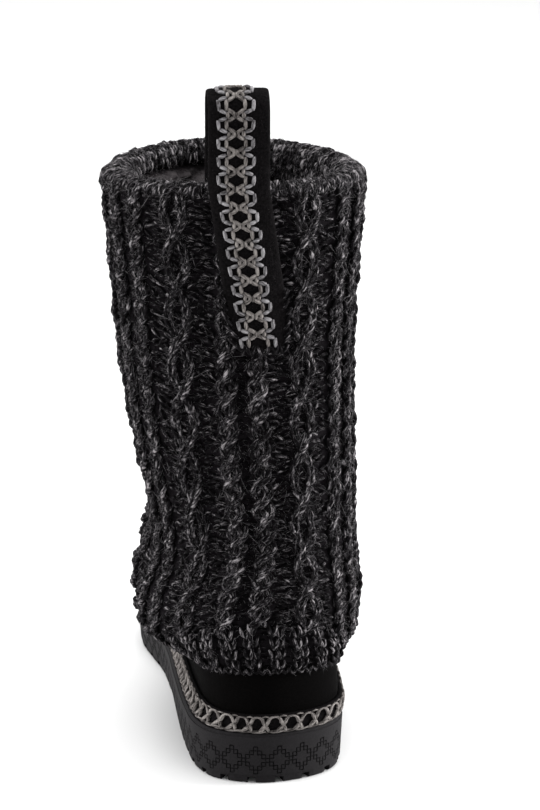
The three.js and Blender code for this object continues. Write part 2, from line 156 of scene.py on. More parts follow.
def round_ring(back, side, front, angle):
    """Value round a ring from its values at the back, at both sides and at the front."""
    mean = (back + front + 2 * side) / 4
    return mean + (back - front) / 2 * np.cos(angle) + (back + front - 2 * side) / 4 * np.cos(2 * angle)


def smoothstep(value, low, high):
    t = np.clip((value - low) / (high - low), 0, 1)
    return t * t * (3 - 2 * t)


def ring_angles(count):
    return np.arange(count) * TURN / count


def unit(vectors):
    return vectors / np.maximum(np.linalg.norm(vectors, axis=-1, keepdims=True), 1e-9)


def outline_knots():
    """Points of the sole's outline from the heel along the lateral edge to the toe and back."""
    across = np.concatenate([[0], SOLE_OUTLINE["lateral"], [TOE_TIP_ACROSS], SOLE_OUTLINE["medial"][::-1]])
    along = np.concatenate([[0], SOLE_OUTLINE["along"], [1], SOLE_OUTLINE["along"][::-1]])
    return np.stack([across * BALL_WIDTH, HEEL_BACK + along * SOLE_LENGTH], axis=-1)


KNOTS = outline_knots()


def root_distance(start, end):
    return np.sqrt(np.linalg.norm(end - start, axis=-1, keepdims=True))


def outline_at(share):
    """Point of the sole's outline, a smooth closed curve through its knots."""
    place = np.mod(share, 1) * len(KNOTS)
    low = np.floor(place).astype(int)
    t = (place - low)[..., None]
    p0, p1, p2, p3 = (KNOTS[(low + shift) % len(KNOTS)] for shift in (-1, 0, 1, 2))
    d0 = root_distance(p0, p1)
    d1 = root_distance(p1, p2)
    d2 = root_distance(p2, p3)
    leave = d1 * ((p1 - p0) / d0 - (p2 - p0) / (d0 + d1) + (p2 - p1) / d1)
    arrive = d1 * ((p2 - p1) / d1 - (p3 - p1) / (d1 + d2) + (p3 - p2) / d2)
    square = 3 * (p2 - p1) - 2 * leave - arrive
    cube = 2 * (p1 - p2) + leave + arrive
    return p1 + leave * t + square * t**2 + cube * t**3


def outline_outward(share, step=1e-4):
    """Level direction out of the sole's outline."""
    tangent = unit(outline_at(share + step) - outline_at(share - step))
    return np.stack([tangent[..., 1], -tangent[..., 0]], axis=-1)


def sole_height(name, y):
    return column_at(SOLE_PROFILE, name, (y - HEEL_BACK) / SOLE_LENGTH)


OUTLINE_SHARES = np.linspace(0, 1, 4001)
OUTLINE_STEPS = np.linalg.norm(np.diff(outline_at(OUTLINE_SHARES), axis=0), axis=-1)
OUTLINE_LENGTHS = np.concatenate([[0], np.cumsum(OUTLINE_STEPS)])
OUTLINE_LENGTH = OUTLINE_LENGTHS[-1]


def share_at(length):
    """Share of the sole's outline at a length along it from the heel."""
    return np.interp(np.mod(length, OUTLINE_LENGTH), OUTLINE_LENGTHS, OUTLINE_SHARES)


def sole_wall(level, angle):
    """Point of the sole's side: level is 0 at the tread's bevel and 1 at the rounded upper edge."""
    level, angle = np.broadcast_arrays(level, angle)
    point = outline_at(angle / TURN)
    low = sole_height("bottom", point[..., 1]) + TREAD_BEVEL
    high = sole_height("top", point[..., 1]) - EDGE_ROUNDING
    flat = point - outline_outward(angle / TURN) * (SIDE_FLARE * (1 - level))[..., None]
    return raised(flat, mix(low, high, level))


def upper(level, angle):
    """Point on the outside of the suede upper: angle 0 is the heel, half a turn the toe."""
    level, angle = np.broadcast_arrays(level, angle)
    row = section_at(UPPER_SECTIONS, level)
    flat = outline_at(angle / TURN)
    lateral = flat[..., 0] > 0
    widest = np.where(lateral, SOLE_OUTLINE["lateral"].max(), -SOLE_OUTLINE["medial"].min()) * BALL_WIDTH
    foot_along = (flat[..., 1] - HEEL_BACK) / SOLE_LENGTH
    taper = np.where(lateral, 0, HEEL_TAPER * (1 - foot_along))
    foot_across = flat[..., 0] / widest * (1 - taper)
    across = foot_across * (1 - row["leg"]) + np.sin(angle) * row["leg"]
    along = foot_along * (1 - row["leg"]) + (1 - np.cos(angle)) / 2 * row["leg"]
    middle = row["leg"] * (row["medial"] + row["lateral"]) / 2
    reach = np.where(across > 0, row["lateral"] - middle, middle - row["medial"])
    y = mix(row["back"], row["front"], along)
    rise = round_ring(row["back_rise"], row["side_rise"], row["front_rise"], angle)
    return np.stack([middle + across * reach, y, sole_height("top", y) + rise], axis=-1)


def placed(surface, along, angle, step=0.02):
    """Points of a surface with its outward normals."""
    turned = surface(along, angle + step) - surface(along, angle - step)
    climbed = surface(along + step, angle) - surface(along - step, angle)
    return surface(along, angle), unit(np.cross(turned, climbed))


def hem_ring(angle):
    """Hem of the sleeve lying on the upper, with its ribs straight below those of the sleeve."""
    level = round_ring(**HEM_LEVEL, angle=angle)
    heel = upper(HEM_LEVEL["back"], 0.0)[1]
    instep = upper(HEM_LEVEL["front"], math.pi)[1]
    goal = mix(heel, instep, (1 - np.cos(angle)) / 2)
    low = np.zeros_like(angle)
    high = np.full_like(angle, math.pi)
    for _ in range(ANGLE_HALVINGS):
        middle = (low + high) / 2
        short = upper(level, middle)[..., 1] < goal
        low = np.where(short, middle, low)
        high = np.where(short, high, middle)
    turned = np.where(angle > math.pi, TURN - low, low)
    point, normal = placed(upper, level, turned)
    return point + normal * HEM_OFFSET


HEM_ANGLES = np.linspace(0, TURN, 721)
HEM_POINTS = hem_ring(HEM_ANGLES)


def hem_at(angle):
    turned = np.mod(angle, TURN)
    return np.stack([np.interp(turned, HEM_ANGLES, HEM_POINTS[:, axis]) for axis in range(3)], axis=-1)


def sleeve(run, angle):
    """Ground of the knitted sleeve from its hem over the rolled rim to the end of the fold inside."""
    run, angle = np.broadcast_arrays(run, angle)
    turned = np.clip((run - RIM_RUN) / ROLL_RADIUS, 0, math.pi)
    depth = np.clip(run - RIM_RUN - math.pi * ROLL_RADIUS, 0, None)
    inside = np.clip(run, RIB_RUN, RIM_RUN) - depth
    row = section_at(SLEEVE_SECTIONS, inside)
    sine = np.sign(np.sin(angle)) * np.abs(np.sin(angle)) ** row["round"]
    cosine = np.sign(np.cos(angle)) * np.abs(np.cos(angle)) ** row["round"]
    inward = ROLL_RADIUS * (1 - np.cos(turned))
    x = (row["medial"] + row["lateral"]) / 2 + (row["lateral"] - row["medial"]) / 2 * sine
    y = row["back"] + (row["front"] - row["back"]) / 2 * (1 - cosine)
    z = round_ring(row["back_height"], row["side_height"], row["front_height"], angle)
    roll = [x - inward * np.sin(angle), y + inward * np.cos(angle), z + ROLL_RADIUS * np.sin(turned)]
    point = np.stack(roll, axis=-1)
    hem = hem_at(angle)
    rib = mix(hem, point, np.minimum(run / RIB_RUN, 1)[..., None])
    return np.where((run < RIB_RUN)[..., None], rib, point)


def on_sleeve(run, angle, side, height):
    """Points at a distance round the sleeve and above its ground, with the ground's normals."""
    step = 0.01
    reach = np.linalg.norm(sleeve(run, angle + step) - sleeve(run, angle - step), axis=-1) / (2 * step)
    point, normal = placed(sleeve, run, angle + side / reach)
    return point + normal * height[..., None], normal


# Mesh making
def in_scene(name, data):
    """New object linked to the scene."""
    item = bpy.data.objects.new(name, data)
    bpy.context.scene.collection.objects.link(item)
    return item


def add_piece(name, points, faces, material, layers=None, smooth=True):
    """New piece of the boot from points in millimetres and lists of faces, with layers of values by point."""
    mesh = bpy.data.meshes.new(name)
    mesh.from_pydata((np.asarray(points).reshape(-1, 3) * MM).tolist(), [], faces)
    mesh.polygons.foreach_set("use_smooth", np.full(len(mesh.polygons), smooth))
    for layer_name, values in (layers or {}).items():
        kind, field = ("FLOAT_VECTOR", "vector") if values.ndim == 2 else ("FLOAT", "value")
        layer = mesh.attributes.new(layer_name, kind, "POINT")
        layer.data.foreach_set(field, values.astype(np.float32).ravel())
    mesh.materials.append(material)
    piece = in_scene(name, mesh)
    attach(piece, "root")
    return piece


def loft(name, rings, material, closed=True, layers=None, smooth=True):
    """Piece over rings of points, closed where the last ring meets the first or else capped at both ends."""
    rows, columns, _ = rings.shape
    corner = np.arange(rows * columns).reshape(rows, columns)
    caps = [] if closed else [corner[0, ::-1].tolist(), corner[-1].tolist()]
    if closed:
        corner = np.concatenate([corner, corner[:1]])
    beside = np.roll(corner, -1, axis=1)
    walls = np.stack([corner[:-1], beside[:-1], beside[1:], corner[1:]], axis=-1).reshape(-1, 4).tolist()
    return add_piece(name, rings, walls + caps, material, layers, smooth)


def way_along(paths):
    """Length along each path up to each of its points."""
    steps = np.linalg.norm(np.diff(paths, axis=1), axis=-1)
    return np.concatenate([np.zeros((len(paths), 1)), np.cumsum(steps, axis=1)], axis=1)


def cross_axes(paths, normals):
    """Directions across each path: one in the surface and one out of it."""
    tangent = unit(np.gradient(paths, axis=1))
    across = unit(np.cross(tangent, normals))
    return across, np.cross(across, tangent)


# Yarn: streaks of fibre along it in millimetres and turns of its plies in radians for each millimetre
STREAK_LENGTH = 2.8
STREAKS_ROUND = 1.25
STREAK_TWIST = 0.25
PLY_TWIST = 0.5
PLY_REACH = 0.46
PLY_RADIUS = 0.62
PLY_TONES = (0.08, -0.1)
# Painted highlight and shade: a yarn's crest is painted lighter than its sides, and each length starts at its
# own place in the streaks.
CREST_PAINTED_SHADING = 0.06
SEEDS = 900


class Yarn:
    """Many short lengths of yarn gathered into one mesh, with coordinates along and round the yarn."""

    def __init__(self):
        self.points = []
        self.faces = []
        self.marks = []
        self.tones = []
        self.stems = []
        self.count = 0

    def add(self, paths, normals, radius, tone=0, sides=5):
        """Round tubes along paths of equal point counts, whose radius and tone may differ along them."""
        lengths, steps, _ = paths.shape
        across, upward = cross_axes(paths, normals)
        turn = ring_angles(sides)
        ring = across[:, :, None] * np.cos(turn)[:, None] + upward[:, :, None] * np.sin(turn)[:, None]
        size = np.broadcast_to(radius, (lengths, steps))[:, :, None, None]
        corner = self.count + np.arange(lengths * steps * sides).reshape(lengths, steps, sides)
        beside = np.roll(corner, -1, axis=2)
        walls = np.stack([corner[:, :-1], corner[:, 1:], beside[:, 1:], beside[:, :-1]], axis=-1)
        self.faces += walls.reshape(-1, 4).tolist() + corner[:, 0].tolist() + corner[:, -1, ::-1].tolist()
        self.points.append((paths[:, :, None] + size * ring).reshape(-1, 3))
        # Centre, axes and radius at each ring, from which loose fibres grow
        reach = np.broadcast_to(size[..., 0], paths.shape)
        stems = np.stack([paths, upward, across, np.cross(upward, across), reach], axis=2)
        self.stems.append(stems.reshape(-1, 5, 3))
        along = way_along(paths)[:, :, None]
        seed = random.uniform(0, SEEDS, (lengths, 1, 1))
        spin = turn + STREAK_TWIST * along + seed
        place = np.broadcast_to(seed + along / STREAK_LENGTH, spin.shape)
        marks = np.stack([place, STREAKS_ROUND * np.cos(spin), STREAKS_ROUND * np.sin(spin)], axis=-1)
        self.marks.append(marks.reshape(-1, 3))
        # Painted highlight on each tube's outward crest, painted shade on its sides and underside
        tones = np.broadcast_to(tone, (lengths, steps))[..., None] + CREST_PAINTED_SHADING * (np.sin(turn) - 0.5)
        self.tones.append(tones.ravel())
        self.count += lengths * steps * sides

    def add_plied(self, paths, normals, radius, tone=0):
        """Two plies twisted round each other along paths, one lighter than the other."""
        across, upward = cross_axes(paths, normals)
        turn = (random.uniform(0, TURN, (len(paths), 1)) + PLY_TWIST * way_along(paths))[..., None]
        size = np.broadcast_to(radius, paths.shape[:2])
        offset = PLY_REACH * size[..., None] * (across * np.cos(turn) + upward * np.sin(turn))
        for hand, ply_tone in zip((1, -1), PLY_TONES):
            self.add(paths + hand * offset, normals, PLY_RADIUS * size, tone + ply_tone, sides=4)

    def piece(self, name, material, slot):
        layers = {"marks": np.concatenate(self.marks), "tone": np.concatenate(self.tones)}
        return add_piece(name, np.concatenate(self.points), self.faces, material, layers)


# Materials
def rgb(red, green, blue):
    """Linear colour from screen values of 0 to 255."""
    screen = np.array([red, green, blue]) / 255
    linear = np.where(screen <= 0.04045, screen / 12.92, ((screen + 0.055) / 1.055) ** 2.4)
    return (*linear.tolist(), 1)


def new_material(name, roughness, gloss):
    """Node material of a roughness and a level of glossy reflection."""
    material = bpy.data.materials.new(name)
    material.use_nodes = True
    shader = material.node_tree.nodes["Principled BSDF"]
    shader.inputs["Roughness"].default_value = roughness
    shader.inputs["Specular IOR Level"].default_value = gloss
    return material, material.node_tree, shader


def node(tree, kind, **inputs):
    """New shader node of a kind with its inputs set to values or linked to other nodes."""
    made = tree.nodes.new("ShaderNode" + kind)
    for name, value in inputs.items():
        if isinstance(value, bpy.types.NodeSocket):
            tree.links.new(value, made.inputs[name])
        else:
            made.inputs[name].default_value = value
    return made


def noise(tree, place, scale, detail=2, roughness=0.5, stretch=None):
    """Noise factor over a coordinate that may be stretched first."""
    if stretch:
        place = node(tree, "Mapping", Scale=stretch, Vector=place).outputs["Vector"]
    made = node(tree, "TexNoise", Scale=scale, Detail=detail, Roughness=roughness, Vector=place)
    return made.outputs["Fac"]


def colour(tree, shader, factor, *stops):
    """Base colour of the shader from a ramp over a factor, by pairs of place and screen colour."""
    ramp = node(tree, "ValToRGB", Fac=factor)
    elements = ramp.color_ramp.elements
    while len(elements) < len(stops):
        elements.new(0.5)
    for element, (place, shade) in zip(elements, stops):
        element.position = place
        element.color = rgb(*shade)
    tree.links.new(ramp.outputs["Color"], shader.inputs["Base Color"])


def bump(tree, shader, height, distance, strength=1.0):
    """Bump of a height factor on the shader."""
    bumped = node(tree, "Bump", Distance=distance * MM, Strength=strength, Height=height)
    tree.links.new(bumped.outputs["Normal"], shader.inputs["Normal"])


def object_place(tree):
    return node(tree, "TexCoord").outputs["Object"]


def attribute(tree, name, output):
    layer = node(tree, "Attribute")
    layer.attribute_name = name
    return layer.outputs[output]


def with_tone(tree, factor):
    """Factor raised or lowered by the tone of the piece's points, which carries random tone, painted shade
    and highlight, and darker grooves.
    """
    total = node(tree, "Math")
    total.operation = "ADD"
    tree.links.new(factor, total.inputs[0])
    tree.links.new(attribute(tree, "tone", "Fac"), total.inputs[1])
    return total.outputs["Value"]


def yarn_material(name, *stops):
    """Spun yarn whose fibres are streaks of colour twisted along it."""
    material, tree, shader = new_material(name, roughness=0.92, gloss=0.04)
    place = attribute(tree, "marks", "Vector")
    streaks = noise(tree, place, 1, detail=3, roughness=0.6)
    colour(tree, shader, with_tone(tree, streaks), *stops)
    relief = noise(tree, place, 1, detail=1, stretch=(1.2, 5, 5))
    bump(tree, shader, relief, distance=0.5, strength=0.8)
    return material


def fabric_material(name, low, high, scale, distance, stretch=None, toned=False, roughness=0.95, gloss=0.02):
    """Cloth, pile or rubber with a fine irregular grain, which its tone may darken."""
    material, tree, shader = new_material(name, roughness, gloss)
    place = object_place(tree)
    grain = noise(tree, place, scale, detail=4, roughness=0.65, stretch=stretch)
    shade = with_tone(tree, grain) if toned else grain
    colour(tree, shader, shade, (0, (6, 6, 6)), (0.3, low), (0.72, high))
    relief = noise(tree, place, scale * 1.7, detail=3, roughness=0.6, stretch=stretch)
    bump(tree, shader, relief, distance)
    return material


def fibre_material(name, low, high):
    """Fine loose fibre that differs in tone from place to place."""
    material, tree, shader = new_material(name, roughness=0.8, gloss=0.1)
    shade = noise(tree, object_place(tree), 300)
    colour(tree, shader, shade, (0.35, low), (0.65, high))
    return material


MARL = yarn_material(
    "marled_yarn",
    (0.4, (5, 4, 5)), (0.54, (14, 13, 14)), (0.64, (48, 46, 48)), (0.76, (134, 130, 132)),
)
NET_LIGHT = yarn_material(
    "net_yarn_light", (0.34, (50, 47, 46)), (0.46, (92, 88, 86)), (0.66, (134, 129, 126)))
NET_COOL = yarn_material(
    "net_yarn_cool", (0.34, (58, 56, 57)), (0.46, (100, 98, 100)), (0.66, (138, 136, 138)))
# The knit's ground is dark partly as its yarn and partly as painted shade in the channels
GROUND_AND_SHADE = fabric_material("knit_ground_and_shade", (8, 7, 8), (22, 20, 22), 900, 0.4)
SUEDE = fabric_material("suede", (1, 1, 1), (6, 5, 5), 900, 0.3, (1, 1, 3))
PLUSH = fabric_material("plush", (20, 18, 19), (54, 51, 52), 500, 1.0, toned=True, gloss=0.03)
WEBBING = fabric_material("webbing", (1, 1, 1), (20, 18, 19), 1000, 0.6, gloss=0.03)
RUBBER_LOOK = {"scale": 1000, "distance": 0.16, "roughness": 0.75, "gloss": 0.1}
RUBBER = fabric_material("sole_rubber", (16, 15, 16), (26, 24, 26), **RUBBER_LOOK)
ENGRAVED = fabric_material("engraved_rubber", (16, 15, 16), (26, 24, 26), toned=True, **RUBBER_LOOK)
FIBRE = fibre_material("loose_fibre", (18, 16, 18), (122, 119, 121))
PILE = fibre_material("webbing_pile", (4, 4, 4), (50, 47, 49))

# Knitting: the legs of a V stitch start and end at shares of a row, at distances from the column's middle
LEG_STEPS = 5
LEG_BOW = 1.1
LEG_SINK = 0.75
LEG_FLARE = 0.8
# Painted light and shade along a leg: lighter at its bowed middle, darker at its ends
LEG_PAINTED_SHADING = 0.05
SLIMMEST = 0.72
ROPE_STITCH, RIB_STITCH, RIM_STITCH = rows_of(table(
    "row radius start end inner outer tone",
    (4.6, 1.3, -0.2, 1.15, 0.5, 1.9, 0.005),
    (6.2, 0.95, -0.06, 0.9, 0.2, 1.9, 0.04),
    (5, 1.45, -0.2, 1.15, 0.6, 2.1, 0.05),
))
# Stitches differ in place by millimetres, in tone, and by shares of their radius. Deeper ones are painted
# darker, as painted shade.
STITCH_STRAY = 0.32
STITCH_TONES = 0.04
STITCH_SIZES = 0.07
DEPTH_PAINTED_SHADE = 0.03
# Cables: columns that sway to the side and roll over and under each other, in millimetres
ROPE = {"pitch": 20, "sway": 2.9, "roll": 0.8, "level": 0.3}
LATTICE = {"pitch": 50, "sway": 5, "roll": 0.6, "level": 0.5}
ROPE_PLACE = 0.125
STRAND_SHIFT = 2
CABLE_END = RIM_RUN + 6
# Purl bars: none under a rope, which lies between two shares of a repeat from the middle of its pair
PURL_COLUMNS = 84
PURL_GAPS = (0.06, 0.19)
# The bars deep in the rope channels and in the hem's gaps get darker tones, as painted shade
PURL_BAR, CHANNEL_BAR, RIB_BAR = rows_of(table(
    "width row level radius tone",
    (5.2, 3.2, -1.9, 1, 0.02), (5, 3.2, -2.6, 0.95, -0.07), (4.2, 3, -3.4, 1, -0.1),
))
BAR_BOW = 1.2
BAR_ARCH = 0.5
BAR_ENDS = 0.65
BAR_STRAY = {"run": 0.5, "tilt": 0.9, "width": 0.25, "side": 0.7, "height": 0.35}
# Hem: ribs of two columns, the gaps between them and the loops of its edge
HEM_RIBS = 34
RIB_ROWS = (0.8, RIB_RUN - 1)
GAP_ROWS = (1, RIB_RUN + 2)
RIB_COLUMN = 1.7
RIB_LEVELS = (-1.6, 0.6)
RIB_SHIFT = 2
ROW_STRAY = 0.4
LOOPS_PER_RIB = 3
EDGE_LOOP = {
    "run": 1.9, "reach": 2.6, "half": 1.9, "sink": 0.2, "bow": 0.3, "radius": 0.9, "tone": 0.02,
    "run_stray": 0.3, "level_stray": 0.2,
}
# Rim, whose fold hangs lower between two angles
RIM_COLUMNS = 76
RIM_LEVEL = -0.2
RIM_FROM = RIM_RUN + 3
RIM_TO = FOLD_RUN - 5
LOW_FOLD = 12
LOW_FOLD_FROM = (1.6, 2.2)
LOW_FOLD_TO = (3.1, 3.4)
# Ground behind the stitches, which comes up to fill the cables out to half their width
GROUND_DEPTH = 2.1
HEM_GROUND_DEPTH = HEM_OFFSET - 1
HEM_GROUND_RUN = 6
GROUND_WALL = 0.6
ROPE_HALF = 5.6
LATTICE_HALF = 3.6
CABLE_FILL = 1.4
FILL_SHOULDER = 4
FILL_RUN = 10
REPEAT_WIDTH = 60


def jitter(rows, size):
    return random.normal(0, size, (len(rows), 1))


def swell(t):
    """Relative thickness of a stitch along it, slimmer at both ends."""
    return mix(SLIMMEST, 1, np.sin(math.pi * t))


def steady(value):
    """Function of the run that is the same everywhere."""
    return lambda run: np.full_like(run, value)


def cable_line(place):
    """Angle of a line of stitches that turns round the leg with the cables."""
    return lambda run: place + np.radians(column_at(SLEEVE_SECTIONS, "turn", run))


def v_stitches(yarn, rows, angle_at, side_at, height_at, stitch):
    """Both legs of a V stitch at each row of a column that may sway to the side and up and down."""
    t = np.linspace(0, 1, LEG_STEPS)
    run = rows[:, None] + stitch["row"] * mix(stitch["start"], stitch["end"], t)
    spread = mix(stitch["inner"], stitch["outer"], t**LEG_FLARE)
    for hand in (-1, 1):
        side = side_at(run) + hand * spread + jitter(rows, STITCH_STRAY)
        height = height_at(run) + LEG_BOW * np.sin(math.pi * t) - LEG_SINK + jitter(rows, STITCH_STRAY)
        paths, normals = on_sleeve(run, angle_at(run), side, height)
        # Painted shade on deeper stitches and at the ends of each leg, painted light at its middle
        tone = stitch["tone"] + DEPTH_PAINTED_SHADE * height_at(run) + LEG_PAINTED_SHADING * (np.sin(math.pi * t) - 0.5)
        tone = tone + jitter(rows, STITCH_TONES)
        radius = stitch["radius"] * swell(t) * (1 + jitter(rows, STITCH_SIZES))
        yarn.add(paths, normals, radius, tone, sides=6)


def cable_column(yarn, place, first_row, cable, shift):
    """Column of a cable, which starts at a share of its turn round the other column."""
    def phase(run):
        return TURN * ((run - RIB_RUN) / cable["pitch"] + shift)

    def sway(run):
        return -cable["sway"] * np.cos(phase(run))

    def level(run):
        return cable["level"] + cable["roll"] * np.sin(phase(run))

    rows = np.arange(first_row, CABLE_END, ROPE_STITCH["row"])
    v_stitches(yarn, rows, cable_line(TURN * place / REPEATS), sway, level, ROPE_STITCH)


def knit_ropes(yarn):
    """Pairs of rope cables, each of two strands twisted up to the right."""
    for repeat in range(REPEATS):
        for hand in (-1, 1):
            for strand in (0, 1):
                first_row = RIB_RUN + STRAND_SHIFT * strand
                cable_column(yarn, repeat + hand * ROPE_PLACE, first_row, ROPE, strand / 2)


def knit_lattice(yarn):
    """Lattice panels between the pairs of ropes: two columns that cross over and under each other."""
    for repeat in range(REPEATS):
        for hand in (-1, 1):
            cable_column(yarn, repeat + 0.5, RIB_RUN + hand, LATTICE, hand / 4)


def purl_bars(yarn, rows, angle_at, bar):
    """Purl bumps of one column: short bars across it that bow out of the ground, none quite level."""
    t = np.linspace(-1, 1, 4)
    bow = np.cos(math.pi * t / 2)
    stray = {name: jitter(rows, size) for name, size in BAR_STRAY.items()}
    run = rows[:, None] + stray["run"] + BAR_ARCH * bow + stray["tilt"] * t
    side = bar["width"] / 2 * t * (1 + stray["width"]) + stray["side"]
    height = bar["level"] + BAR_BOW * bow + stray["height"]
    paths, normals = on_sleeve(run, angle_at(run), side, height)
    tone = bar["tone"] + jitter(rows, STITCH_TONES)
    yarn.add(paths, normals, bar["radius"] * mix(BAR_ENDS, 1, bow), tone, sides=4)


def knit_purl(yarn):
    """Purl ground in the gaps beside the ropes and inside the lattice panels."""
    for column in range(PURL_COLUMNS):
        across = (column + 0.5) / PURL_COLUMNS * REPEATS % 1
        across = min(across, 1 - across)
        if PURL_GAPS[0] < across < PURL_GAPS[1]:
            continue
        bar = CHANNEL_BAR if across < PURL_GAPS[0] else PURL_BAR
        start = RIB_RUN + column % 2 * bar["row"] / 2
        rows = np.arange(start, CABLE_END, bar["row"])
        purl_bars(yarn, rows, cable_line(TURN * (column + 0.5) / PURL_COLUMNS), bar)


def rib_level(run):
    """Height of the ribs, which draw in towards the hem's edge."""
    return mix(*RIB_LEVELS, smoothstep(run, 0, RIB_RUN / 2))


def knit_hem(yarn):
    """Ribbed hem: ribs of two columns, bars in the gaps and a looped cast-on edge."""
    rows = np.arange(*RIB_ROWS, RIB_STITCH["row"])
    gap_rows = np.arange(*GAP_ROWS, RIB_BAR["row"])
    for rib in range(HEM_RIBS):
        middle = steady(TURN * (rib + 0.5) / HEM_RIBS)
        for hand in (-1, 1):
            strayed = rows + jitter(rows, ROW_STRAY)[:, 0] + random.uniform(0, RIB_SHIFT)
            v_stitches(yarn, strayed, middle, steady(hand * RIB_COLUMN), rib_level, RIB_STITCH)
        purl_bars(yarn, gap_rows, steady(TURN * rib / HEM_RIBS), RIB_BAR)
    count = LOOPS_PER_RIB * HEM_RIBS
    loops = TURN * (np.arange(count) + 0.5) / count
    t = np.linspace(-1, 1, 7)
    bow = np.cos(math.pi * t / 2)
    run = EDGE_LOOP["run"] - EDGE_LOOP["reach"] * bow + jitter(loops, EDGE_LOOP["run_stray"])
    level = RIB_LEVELS[0] - EDGE_LOOP["sink"] + jitter(loops, EDGE_LOOP["level_stray"])
    side = np.broadcast_to(EDGE_LOOP["half"] * t, run.shape)
    paths, normals = on_sleeve(run, loops[:, None], side, level + EDGE_LOOP["bow"] * bow)
    yarn.add(paths, normals, EDGE_LOOP["radius"], EDGE_LOOP["tone"])


def knit_rim(yarn):
    """Plain columns that roll inward over the rim and down to the end of the fold."""
    for column in range(RIM_COLUMNS):
        angle = TURN * (column + 0.5) / RIM_COLUMNS
        lower = smoothstep(angle, *LOW_FOLD_FROM) - smoothstep(angle, *LOW_FOLD_TO)
        rows = np.arange(RIM_FROM, RIM_TO + LOW_FOLD * lower, RIM_STITCH["row"])
        v_stitches(yarn, rows, cable_line(angle), steady(0), steady(RIM_LEVEL), RIM_STITCH)


def ground_depth(run, angle):
    """Depth of the ground below the stitches: less under the cables, which it fills, and more at the hem."""
    across = ((angle - cable_line(0)(run)) / TURN * REPEATS + 0.5) % 1 - 0.5
    to_rope = np.abs(np.abs(across) - ROPE_PLACE) * REPEAT_WIDTH
    sway = LATTICE["sway"] * np.abs(np.sin(TURN * (run - RIB_RUN) / LATTICE["pitch"]))
    to_lattice = np.abs((0.5 - np.abs(across)) * REPEAT_WIDTH - sway)
    filled = np.exp(-((to_rope / ROPE_HALF) ** FILL_SHOULDER))
    filled = filled + np.exp(-((to_lattice / LATTICE_HALF) ** FILL_SHOULDER))
    fill = CABLE_FILL * filled * smoothstep(run, RIB_RUN, RIB_RUN + FILL_RUN)
    at_hem = 1 - smoothstep(run, 0, HEM_GROUND_RUN)
    return GROUND_DEPTH - fill + (HEM_GROUND_DEPTH - GROUND_DEPTH) * at_hem


def knit_backing():
    """Ground of the knit, a thin closed wall behind its stitches, dark partly in its yarn's own colour and
    partly as painted shade of the knit's depths.
    """
    angle = ring_angles(240)
    runs = np.concatenate([np.linspace(0.5, RIM_RUN, 50), np.linspace(RIM_FROM, FOLD_RUN, 8)])
    point, normal = placed(sleeve, runs[:, None], angle)
    depth = ground_depth(runs[:, None], angle)[..., None]
    rings = np.concatenate([point - depth * normal, (point - (depth + GROUND_WALL) * normal)[::-1]])
    return loft("knit_ground_and_shade", rings, GROUND_AND_SHADE)


# Loose fibre of the yarn: short needles all over, longer ones in a halo and a few long bent hairs.
# A fibre rises from its yarn by up to its lift, and is longer than the shortest by a gamma curve.
FUZZ, HALO, HEM_FUZZ, LOOP_PILE = rows_of(table(
    "count length shortest lift",
    (46000, 1.3, 0.5, 0.7), (22000, 2.2, 0.9, 2), (2500, 1.2, 0.5, 0.5), (2500, 0.5, 0.3, 2),
))
FIBRE_RADIUS = 0.055
FIBRE_SPREAD = 0.8
FIBRE_ROOT = 0.9
FIBRE_ASIDE = 0.3
FIBRE_SHAPE = 2.5
LEAST_LIFT = 0.05
HAIR_COUNT = 600
HAIR_RUNS = (8, FOLD_RUN - 6)
HAIR_EDGE = 1.5
HAIR_LENGTH = {"shape": 5, "scale": 1.1, "shortest": 2}
HAIR_CURL = 0.25
HAIR_ROOTS = (0.5, 2.2)
HAIR_RISE = (0.05, 0.4)
HAIR_TAPER = np.array([1, 1, 0.8, 0.3])


def fibres(name, yarns, kind, material):
    """Fibres that stand off the stitches, three-sided needles that end in a point."""
    stems = np.concatenate([stem for yarn in yarns for stem in yarn.stems])
    count = int(kind["count"])
    picked = stems[random.integers(0, len(stems), count)]
    centre, upward, across, along, size = (picked[:, place] for place in range(5))
    each = (count, 1)
    turn = random.normal(0, FIBRE_SPREAD, each)
    outward = upward * np.cos(turn) + across * np.sin(turn)
    root = centre + FIBRE_ROOT * size * outward
    way = along * random.normal(0, 1, each) + across * random.normal(0, FIBRE_ASIDE, each)
    way = unit(unit(way) + outward * random.uniform(LEAST_LIFT, kind["lift"], each))
    longer = np.minimum(random.gamma(FIBRE_SHAPE, kind["length"] / FIBRE_SHAPE, each), 2 * kind["length"])
    tip = root + way * (longer + kind["shortest"])
    beside = unit(np.cross(way, outward))
    above = np.cross(beside, way)
    turn = ring_angles(3)[:, None]
    base = root[:, None] + FIBRE_RADIUS * (beside[:, None] * np.cos(turn) + above[:, None] * np.sin(turn))
    points = np.concatenate([base, tip[:, None]], axis=1)
    corner = np.arange(4 * count).reshape(count, 4)
    sides = [corner[:, [0, 2, 1]], corner[:, [0, 1, 3]], corner[:, [1, 2, 3]], corner[:, [2, 0, 3]]]
    return add_piece(name, points, np.concatenate(sides).tolist(), material)


